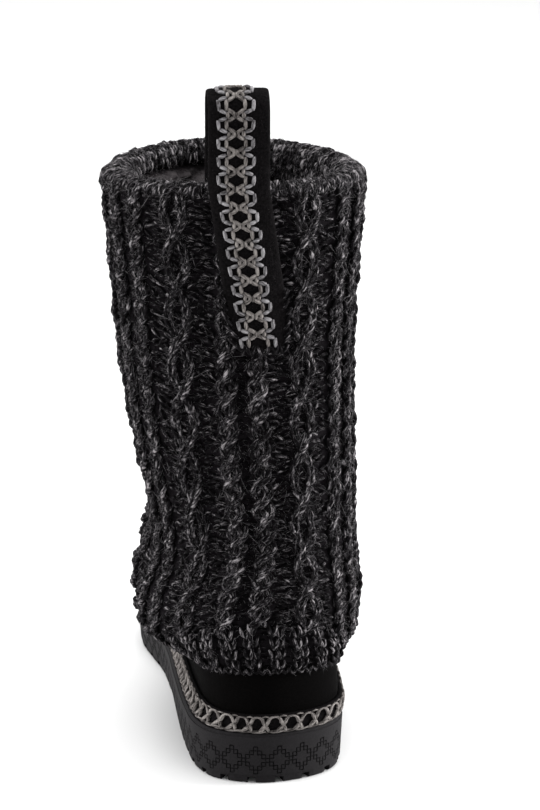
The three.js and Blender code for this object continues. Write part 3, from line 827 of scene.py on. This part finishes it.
def knit_hairs():
    """Longer hairs that lie bent over the stitches."""
    each = (HAIR_COUNT, 1)
    run = random.uniform(*HAIR_RUNS, each)
    angle = random.uniform(0, TURN, each)
    length = random.gamma(HAIR_LENGTH["shape"], HAIR_LENGTH["scale"], each) + HAIR_LENGTH["shortest"]
    lean = random.uniform(0, TURN, each)
    curl = random.normal(0, HAIR_CURL, each) * length
    t = np.linspace(0, 1, len(HAIR_TAPER))
    way = length * t
    bend = curl * t**2
    run_path = np.clip(run + way * np.sin(lean) + bend * np.cos(lean), HAIR_EDGE, FOLD_RUN)
    side = way * np.cos(lean) - bend * np.sin(lean)
    height = random.uniform(*HAIR_ROOTS, each) + random.uniform(*HAIR_RISE, each) * way
    paths, normals = on_sleeve(run_path, np.broadcast_to(angle, way.shape), side, height)
    yarn = Yarn()
    yarn.add(paths, normals, FIBRE_RADIUS * HAIR_TAPER, sides=3)
    return yarn.piece("knit_hairs", FIBRE, "marled_yarn")


def knit_piece(name, maker):
    yarn = Yarn()
    maker(yarn)
    yarn.piece(name, MARL, "marled_yarn")
    return yarn


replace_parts(knit_backing(), "knit_sleeve")
PURL_YARN = knit_piece("knit_purl", knit_purl)
CABLE_YARNS = [
    knit_piece("knit_ropes", knit_ropes),
    knit_piece("knit_lattice", knit_lattice),
    knit_piece("knit_rim", knit_rim),
]
HEM_YARN = knit_piece("knit_hem", knit_hem)
fibres("knit_fuzz", [PURL_YARN, *CABLE_YARNS], FUZZ, FIBRE)
fibres("knit_halo", CABLE_YARNS, HALO, FIBRE)
fibres("knit_hem_fuzz", [HEM_YARN], HEM_FUZZ, FIBRE)
knit_hairs()

# Suede foot
VAMP_CREASES = table("y depth width bow", (166, 0.9, 4.5, 0.010), (179, 1.1, 5, 0.012), (193, 0.7, 5, 0.014))
VAMP_FROM = 42
VAMP_TO = 58


def vamp_trough(point):
    """Depth of the soft creases where the foot bends, across the top of the vamp only."""
    x, y, z = point[..., 0], point[..., 1], point[..., 2]
    depth = np.zeros_like(x)
    for crease in rows_of(VAMP_CREASES):
        distance = (y - crease["y"] + crease["bow"] * x**2) / crease["width"]
        depth += crease["depth"] * np.exp(-distance**2)
    return depth * smoothstep(z, VAMP_FROM, VAMP_TO)


def suede_upper():
    """Suede foot and inner leg, one hollow wall open at the collar and underneath."""
    angle = ring_angles(144)
    levels = np.concatenate([np.linspace(0, 6, 61), np.linspace(6.2, 10, 20)])
    point, normal = placed(upper, levels[:, None], angle)
    outside = point - normal * vamp_trough(point)[..., None]
    inside = point - UPPER_WALL * normal
    inside[0, :, 2] = point[0, :, 2]
    return loft("suede_upper", np.concatenate([outside, inside[::-1]]), SUEDE)


# Plush inside: lumps of the bunched lining under the collar, by degrees from the heel and the upper's levels,
# and waves of its pile, whose phase in radians grows round the leg and up it
LINING_LUMPS = table(
    "angle level wide tall bulge",
    (222, 9.89, 13, 0.055, 9), (194, 9.86, 9, 0.055, 14), (240, 9.91, 5, 0.03, 4), (230, 9.93, 4, 0.02, 4),
    (218, 9.935, 4, 0.02, 4), (207, 9.92, 4, 0.025, 5), (176, 9.88, 9, 0.05, 7), (96, 9.9, 7, 0.04, 3),
    (64, 9.91, 7, 0.04, 4), (30, 9.91, 8, 0.04, 3), (330, 9.92, 8, 0.04, 3), (290, 9.91, 7, 0.04, 4),
)
LINING_WAVES = table("height round up", (0.7, 23, 90), (0.6, 57, -140))
LINING_PILE = 2.2
LINING_SWELL = 0.8
SWELL_LEVELS = (8.6, 9.6)
LINING_EDGE = 0.7
LINING_TOP = 9.985
LINING_TUCK = 9.94
LINING_GAP = 0.2
LINING_SHADE = 0.6
SHADE_DEPTHS = (2, 13)
SHADE_MIDDLE = 0.6
FOOTBED_EDGE = 0.35
FOOTBED_SHOULDER = 6
QUILT = {"height": 0.25, "across": 0.9, "along": 0.8}


def lining_depth(level, angle):
    """Thickness of the plush lining: a tucked top edge, lumps just below it and an even pile further down."""
    depth = LINING_PILE + LINING_SWELL * smoothstep(level, *SWELL_LEVELS)
    for lump in rows_of(LINING_LUMPS):
        turn = (np.degrees(angle) - lump["angle"] + 180) % 360 - 180
        spread = (turn / lump["wide"]) ** 2 + ((level - lump["level"]) / lump["tall"]) ** 2
        depth = depth + lump["bulge"] * np.exp(-spread)
    for wave in rows_of(LINING_WAVES):
        depth = depth + wave["height"] * np.sin(wave["round"] * angle + wave["up"] * level)
    return LINING_EDGE + depth * smoothstep(-level, -LINING_TOP, -LINING_TUCK)


def plush_lining():
    """Plush lining of the leg and foot, up to the end of the knitted fold."""
    angle = ring_angles(160)
    levels = np.concatenate([np.linspace(0.6, 9.6, 34), np.linspace(9.63, LINING_TOP, 34)])
    point, normal = placed(upper, levels[:, None], angle, 0.01)
    wall = point - (UPPER_WALL + LINING_GAP) * normal
    depth = lining_depth(levels[:, None], angle)
    rings = np.concatenate([wall, (wall - depth[..., None] * normal)[::-1]])
    # Painted shade and light: the hollows between the lumps are painted darker and the lumps lighter.
    tone = LINING_SHADE * (smoothstep(depth, *SHADE_DEPTHS) - SHADE_MIDDLE)
    layers = {"tone": np.concatenate([tone, tone[::-1]]).ravel()}
    return loft("plush_lining", rings, PLUSH, layers=layers)


def footbed():
    """Plush footbed with rounded edges and a faintly quilted top."""
    share = np.linspace(0.004, 0.496, 60)
    edge = []
    for sides in (-share, share):
        point, normal = placed(upper, np.zeros_like(share), TURN * sides)
        edge.append(point[:, :2] - (UPPER_WALL + INSOLE["clearance"]) * unit(normal[:, :2]))
    t = np.linspace(0, 1, 14)[None, :, None]
    flat = edge[0][:, None] * (1 - t) + edge[1][:, None] * t
    base = sole_height("top", flat[..., 1]) + SEAM_GAP
    rounded = np.sqrt(np.clip(1 - (2 * t[..., 0] - 1) ** FOOTBED_SHOULDER, 0, 1))
    quilt = QUILT["height"] * np.sin(QUILT["across"] * flat[..., 0]) * np.sin(QUILT["along"] * flat[..., 1])
    top = base + INSOLE["thickness"] * mix(FOOTBED_EDGE, 1, rounded) + quilt
    rings = np.concatenate([raised(flat, top), raised(flat, base)[:, ::-1]], axis=1)
    return loft("footbed", rings, PLUSH, closed=False)


# Net trim round the foot: one repeat from a crossing, in shares of its pitch and of the trim's height
NET_PITCH = 8.5
NET_ARCH = table(
    "along level radius",
    (-0.02, 0.44, 0.85), (0.1, 0.64, 1.05), (0.19, 0.82, 0.9), (0.32, 0.93, 0.6), (0.5, 0.96, 0.5),
    (0.68, 0.93, 0.6), (0.81, 0.82, 0.9), (0.9, 0.64, 1.05), (1.02, 0.44, 0.85),
)
NET_LEFT_LEG = table(
    "along level radius", (0.04, 0.52, 0.7), (-0.1, 0.36, 1.05), (-0.24, 0.22, 1), (-0.38, 0.1, 0.55))
NET_RIGHT_LEG = table(
    "along level radius", (-0.04, 0.52, 0.7), (0.05, 0.36, 1.05), (0.12, 0.22, 1), (0.18, 0.08, 0.55))
NET_TIE = table("along level radius", (-0.2, 0.93, 0.35), (0, 0.97, 0.45), (0.2, 0.93, 0.35))
NET_LIFTS = ((NET_ARCH, 0.75), (NET_LEFT_LEG, 0.8), (NET_RIGHT_LEG, 0.6), (NET_TIE, 0.3))
NET_STRAY = 0.012
NET_TONES = 0.03
NET_CORD = {"level": 0.09, "lift": 0.5, "radius": 0.8, "tone": -0.02, "steps": 8}


def trim_face(level, angle):
    """Face of the trim from the sole's ledge at level 0 to its top edge at level 1."""
    flat = outline_at(angle / TURN) - TRIM["sole_inset"] * outline_outward(angle / TURN)
    base = raised(flat, sole_height("top", flat[..., 1]) + SEAM_GAP)
    offset = SEAM_GAP + TRIM["thickness"]
    low, low_normal = placed(upper, TRIM["top_level"] / 2, angle)
    high, high_normal = placed(upper, TRIM["top_level"], angle)
    t = np.asarray(level)[..., None]
    middle = (low + offset * low_normal) * 4 * t * (1 - t)
    return base * (1 - t) * (1 - 2 * t) + middle + (high + offset * high_normal) * t * (2 * t - 1)


def trim_band():
    """Black cloth of the trim, from the ledge up the foot and back down inside."""
    angle = ring_angles(220)
    outside = [trim_face(np.full_like(angle, level), angle) for level in np.linspace(0, 1, 7)]
    inside = []
    for level in (1, 0.5, 0.05):
        point, normal = placed(upper, TRIM["top_level"] * level, angle)
        inside.append(point + SEAM_GAP * normal)
    inside[-1][:, 2] = np.maximum(inside[-1][:, 2], sole_height("top", inside[-1][:, 1]) + SEAM_GAP)
    return loft("trim_band", np.stack(outside + inside), WEBBING)


def trim_net():
    """Crossing arches of yarn with legs down to a twisted cord along the sole."""
    repeats = round(OUTLINE_LENGTH / NET_PITCH)
    pitch = OUTLINE_LENGTH / repeats
    yarn = Yarn()
    for stitch, lift in NET_LIFTS:
        place = (np.arange(repeats)[:, None] + stitch["along"]) * pitch
        level = stitch["level"] + jitter(place, NET_STRAY)
        point, normal = placed(trim_face, level, TURN * share_at(place))
        yarn.add(point + lift * normal, normal, stitch["radius"], jitter(place, NET_TONES))
    place = np.arange(NET_CORD["steps"] * repeats + 1)[None, :] * pitch / NET_CORD["steps"]
    point, normal = placed(trim_face, np.full_like(place, NET_CORD["level"]), TURN * share_at(place))
    yarn.add_plied(point + NET_CORD["lift"] * normal, normal, NET_CORD["radius"], NET_CORD["tone"])
    return yarn.piece("trim_net", NET_LIGHT, "trim_net")


# Pull loop
ARCH_RADIUS = (STRAP["inner_back"] - STRAP["outer_back"]) / 2
STRAP_HALF = STRAP["thickness"] / 2
ARCH_HEIGHT = STRAP["top_height"] - STRAP_HALF - ARCH_RADIUS
OUTER_LEG = ARCH_HEIGHT - STRAP["end_height"]
STRAP_LENGTH = OUTER_LEG + math.pi * ARCH_RADIUS + ARCH_HEIGHT - STRAP["inside_end"]
STRAP_CORNER = 9
STRAP_RIBS = 11
STRAP_RIB_HEIGHT = 0.07
STRAP_EDGE = 0.3
STRAP_SHOULDER = 12


def strap_at(way, side, out):
    """Point of the pull loop: way from its outer end, side across it and out from its middle layer."""
    way, side, out = np.broadcast_arrays(way, side, out)
    turned = np.clip((way - OUTER_LEG) / ARCH_RADIUS, 0, math.pi)
    past = np.clip(way - OUTER_LEG - math.pi * ARCH_RADIUS, 0, None)
    z = np.minimum(STRAP["end_height"] + way, ARCH_HEIGHT) + ARCH_RADIUS * np.sin(turned) - past
    y = (STRAP["inner_back"] + STRAP["outer_back"]) / 2 - ARCH_RADIUS * np.cos(turned)
    lean = np.clip((z - STRAP["end_height"]) / (STRAP["rim_height"] - STRAP["end_height"]), 0, 1)
    x = mix(STRAP["end_across"], STRAP["rim_across"], lean) + side
    radius = np.where(turned < math.pi / 2, STRAP["outer_radius"], STRAP["inner_radius"])
    wrap = 1 - smoothstep(z, STRAP["flat_from"], STRAP["flat_to"])
    bend = wrap * (x - STRAP["shaft_across"]) ** 2 / (2 * radius)
    return np.stack([x, y + bend - out * np.cos(turned), z + out * np.sin(turned)], axis=-1)


def on_strap(way, side, out):
    """Points of the pull loop with its outward normals."""
    point = strap_at(way, side, out)
    return point, unit(strap_at(way, side, out + 1) - point)


def loop_webbing():
    """Black webbing with fine ribs along it and a rounded outer end."""
    turn = np.linspace(0.12, 1, 8) * math.pi / 2
    way = np.concatenate([STRAP_CORNER * (1 - np.cos(turn)), np.linspace(STRAP_CORNER + 2, STRAP_LENGTH, 96)])
    short = STRAP_CORNER - np.minimum(way, STRAP_CORNER)
    inset = STRAP_CORNER - np.sqrt(STRAP_CORNER**2 - short**2)
    share = np.linspace(-1, 1, 57)
    side = (STRAP["width"] / 2 - inset)[:, None] * share
    edge = np.sqrt(np.clip(1 - share**STRAP_SHOULDER, 0, 1))
    ribs = STRAP_RIB_HEIGHT * np.cos(TURN * STRAP_RIBS * share)
    out = STRAP_HALF * mix(STRAP_EDGE, 1, edge) + ribs * edge
    face = strap_at(way[:, None], side, out)
    back = strap_at(way[:, None], side, -out)[:, ::-1]
    return loft("loop_webbing", np.concatenate([face, back], axis=1), WEBBING, closed=False)


def pile_lines():
    """Lines along both faces of the loop from which its pile grows."""
    yarn = Yarn()
    way = np.linspace(STRAP_CORNER, STRAP_LENGTH - 1, 160)[None, :]
    for side in STRAP["width"] / 2 * np.linspace(-1, 1, 15):
        for face in (-1, 1):
            paths, normals = on_strap(way, side, face * STRAP_HALF)
            yarn.add(paths, face * normals, FIBRE_RADIUS)
    return yarn


# One repeat of the loop's net, its right half in millimetres from the crossing: side and way of both ends.
LOOP_PITCH = 8.43
LOOP_FROM = 7.6 - LOOP_PITCH
LOOP_NET_SIDE = -1.6
LOOP_FIRST = 0.8
LOOP_YARN = 1.0
LOOP_LIFT = 0.1
LOOP_BOW = 0.45
LOOP_STRAY = 0.12
LOOP_TONES = 0.05
LIGHT_STITCHES = [
    (0.5, 0.5, 3.6, 2.5), (0.5, -0.5, 3.6, -2.5), (0.7, -1.2, 0.7, 1.2), (3.3, -1.2, 3.3, 1.2),
    (4.3, 2.1, 4.3, 6.3),
]
COOL_STITCHES = [(4.2, 1.0, 7.2, 2.1), (7.6, 2.0, 8.1, 6.2), (7.4, 6.4, 4.2, 7.4)]
# Stitches of the sleeve over the loop's outer end, its right half: side and way of both ends.
COVER_YARN = 0.95
COVER_SINK = 0.5
COVER_STRAY = {"way": 0.5, "side": 0.4}
COVER_STITCHES = [
    (15.6, 27, 13.6, 24), (15.4, 22.5, 13.2, 19.6), (15.6, 19, 13.4, 16.4), (15, 15.4, 12.6, 12),
    (14.8, 12, 12, 9), (14.4, 8.6, 11.4, 5.8), (13.4, 5.4, 10.6, 2.6), (11.8, 2.6, 9.6, -0.6),
    (8.2, 2, 9.4, -2), (7.4, 1.8, 6, -2), (3.8, 1.6, 5, -2.4), (2.8, 1.8, 1.4, -2.2), (0.2, 1.4, 0.6, -2.6),
]


def loop_net(name, stitches, material):
    """Short stitches of the net along the loop's outward face, mirrored about its middle line."""
    yarn = Yarn()
    t = np.linspace(0, 1, LEG_STEPS)
    for side_from, way_from, side_to, way_to in stitches:
        starts = np.arange(LOOP_FROM, STRAP_LENGTH - LOOP_PITCH, LOOP_PITCH)
        starts = starts[starts + way_from > LOOP_FIRST][:, None]
        for hand in (-1, 1):
            way = starts + mix(way_from, way_to, t) + jitter(starts, LOOP_STRAY)
            side = LOOP_NET_SIDE + hand * mix(side_from, side_to, t) + jitter(starts, LOOP_STRAY)
            out = STRAP_HALF + LOOP_LIFT + LOOP_BOW * np.sin(math.pi * t)
            paths, normals = on_strap(way, side, out)
            yarn.add(paths, normals, LOOP_YARN * swell(t), jitter(starts, LOOP_TONES))
    return yarn.piece(name, material, "webbing")


def loop_cover(yarn):
    """Stitches of the sleeve that hold the outer end of the loop."""
    t = np.linspace(0, 1, LEG_STEPS)
    for hand in (-1, 1):
        ends = np.array(COVER_STITCHES)[:, :, None]
        out = STRAP_HALF - COVER_SINK + LEG_BOW * np.sin(math.pi * t)
        way = mix(ends[:, 1], ends[:, 3], t) + jitter(ends, COVER_STRAY["way"])
        side = hand * mix(ends[:, 0], ends[:, 2], t) + jitter(ends, COVER_STRAY["side"])
        paths, normals = on_strap(way, side, out)
        yarn.add(paths, normals, COVER_YARN, jitter(ends, STITCH_TONES))


# Engraved band round the sole: stepped diamonds of small squares, one repeat, drawn as rows from the top.
SOLE_CHART = [
    "...#..",
    "..#.#.",
    ".#...#",
    "#.....",
    ".#...#",
    "..#.#.",
    "...#..",
]
CHART_PITCH = 11.4
CHART_FROM = 0.18
CHART_TO = 0.77
BAND_EDGES = (0.125, 0.14, 0.16, 0.79, 0.975, 0.995)
BAND_LIFT = 0.5
BAND_ROOT = -0.8
GROOVE = 0.6
# The groove lines get a lower tone, so they are coloured darker than the band's face
GROOVE_TONE = -0.5
CELL_STOPS = (0, 0.18, 0.82)


def chart_grooves(repeats):
    """Marks of the groove lines round each square of the chart, on a grid with three stops to a square."""
    chart = np.array([[mark == "#" for mark in row] for row in SOLE_CHART[::-1]])
    cells = np.tile(chart, (1, repeats))
    rows, columns = cells.shape
    marked = np.zeros((3 * rows + 1, 3 * columns), bool)
    for row, column in zip(*np.nonzero(cells)):
        low, left, right = 3 * row, 3 * column, (3 * column + 3) % (3 * columns)
        marked[low:low + 4, [left, right]] = True
        marked[[low, low + 3], left:left + 3] = True
    return marked


def sole_band():
    """Wall of the sole with grooves round each small square of the chart, rooted in the sole behind it."""
    repeats = round(OUTLINE_LENGTH / CHART_PITCH)
    marked = chart_grooves(repeats)
    rows = len(SOLE_CHART)
    around = repeats * len(SOLE_CHART[0])
    length = (np.arange(around)[:, None] + np.array(CELL_STOPS)).ravel() / around * OUTLINE_LENGTH
    inner = (np.arange(rows)[:, None] + np.array(CELL_STOPS)).ravel() / rows
    chart_levels = mix(CHART_FROM, CHART_TO, np.append(inner, 1))
    levels = np.concatenate([BAND_EDGES[:3], chart_levels, BAND_EDGES[3:]])
    groove = np.zeros((len(levels), len(length)))
    groove[3:-3] = marked
    lift = BAND_LIFT - GROOVE * groove
    lift[[0, -1]] = BAND_ROOT
    point, normal = placed(sole_wall, levels[:, None], TURN * share_at(length), 0.003)
    rings = point + lift[..., None] * normal
    layers = {"tone": GROOVE_TONE * groove.ravel()}
    return loft("sole_band", rings, ENGRAVED, layers=layers, smooth=False)


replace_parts(suede_upper(), "upper")
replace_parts(footbed(), "insole")
plush_lining()
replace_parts(trim_band(), "foot_trim")
trim_net()
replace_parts(loop_webbing(), "pull_loop")
fibres("loop_pile", [pile_lines()], LOOP_PILE, PILE)
loop_net("loop_net_light", LIGHT_STITCHES, NET_LIGHT)
loop_net("loop_net_cool", COOL_STITCHES, NET_COOL)
knit_piece("loop_cover", loop_cover)
sole_band()

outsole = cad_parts["outsole"]
outsole.data.materials.clear()
outsole.data.materials.append(RUBBER)


# Stage in metres and degrees: the camera stands behind the boot as in the photo, and looks down and right
FLOOR_HALF = 12
EYE = (-0.1397, -1.5104, 0.590)
EYE_DOWN = 15.27
EYE_RIGHT = 5.5
FOCAL_PIXELS = 3337
PHOTO_HEIGHT = 810


def add_floor():
    material, tree, shader = new_material("studio_floor", roughness=0.9, gloss=0.1)
    tone = noise(tree, object_place(tree), 3)
    colour(tree, shader, tone, (0.3, (213, 213, 213)), (0.7, (216, 216, 216)))
    mesh = bpy.data.meshes.new("studio_floor")
    corners = [(FLOOR_HALF * x, FLOOR_HALF * y, 0) for x, y in ((-1, -1), (1, -1), (1, 1), (-1, 1))]
    mesh.from_pydata(corners, [], [(0, 1, 2, 3)])
    mesh.materials.append(material)
    floor = in_scene("studio_floor", mesh)


def add_light(name, place, target, size, power):
    light = bpy.data.lights.new(name, "AREA")
    light.shape = "DISK"
    light.size = size
    light.energy = power
    lamp = in_scene(name, light)
    lamp.location = place
    lamp.rotation_euler = (Vector(target) - Vector(place)).to_track_quat("-Z", "Y").to_euler()


def add_world(strength):
    world = bpy.data.worlds.new("studio")
    bpy.context.scene.world = world
    world.use_nodes = True
    background = world.node_tree.nodes["Background"]
    background.inputs["Color"].default_value = (1, 1, 1, 1)
    background.inputs["Strength"].default_value = strength


def add_camera():
    camera = bpy.data.cameras.new("camera")
    camera.sensor_width = 36
    camera.lens = FOCAL_PIXELS / PHOTO_HEIGHT * camera.sensor_width
    eye = in_scene("camera", camera)
    eye.location = EYE
    eye.rotation_euler = (math.radians(90 - EYE_DOWN), 0, math.radians(-EYE_RIGHT))
    bpy.context.scene.camera = eye


add_floor()
add_light("top", (0, 0.3, 2.4), (0, 0.05, 0.1), 2.4, 72)
add_light("right", (1.9, 0.1, 0.48), (0, 0, 0.18), 0.9, 80)
add_light("left", (-1.9, 0.1, 0.48), (0, 0, 0.18), 0.9, 42)
add_world(1.0)
add_camera()
bpy.context.scene.view_settings.view_transform = "Standard"
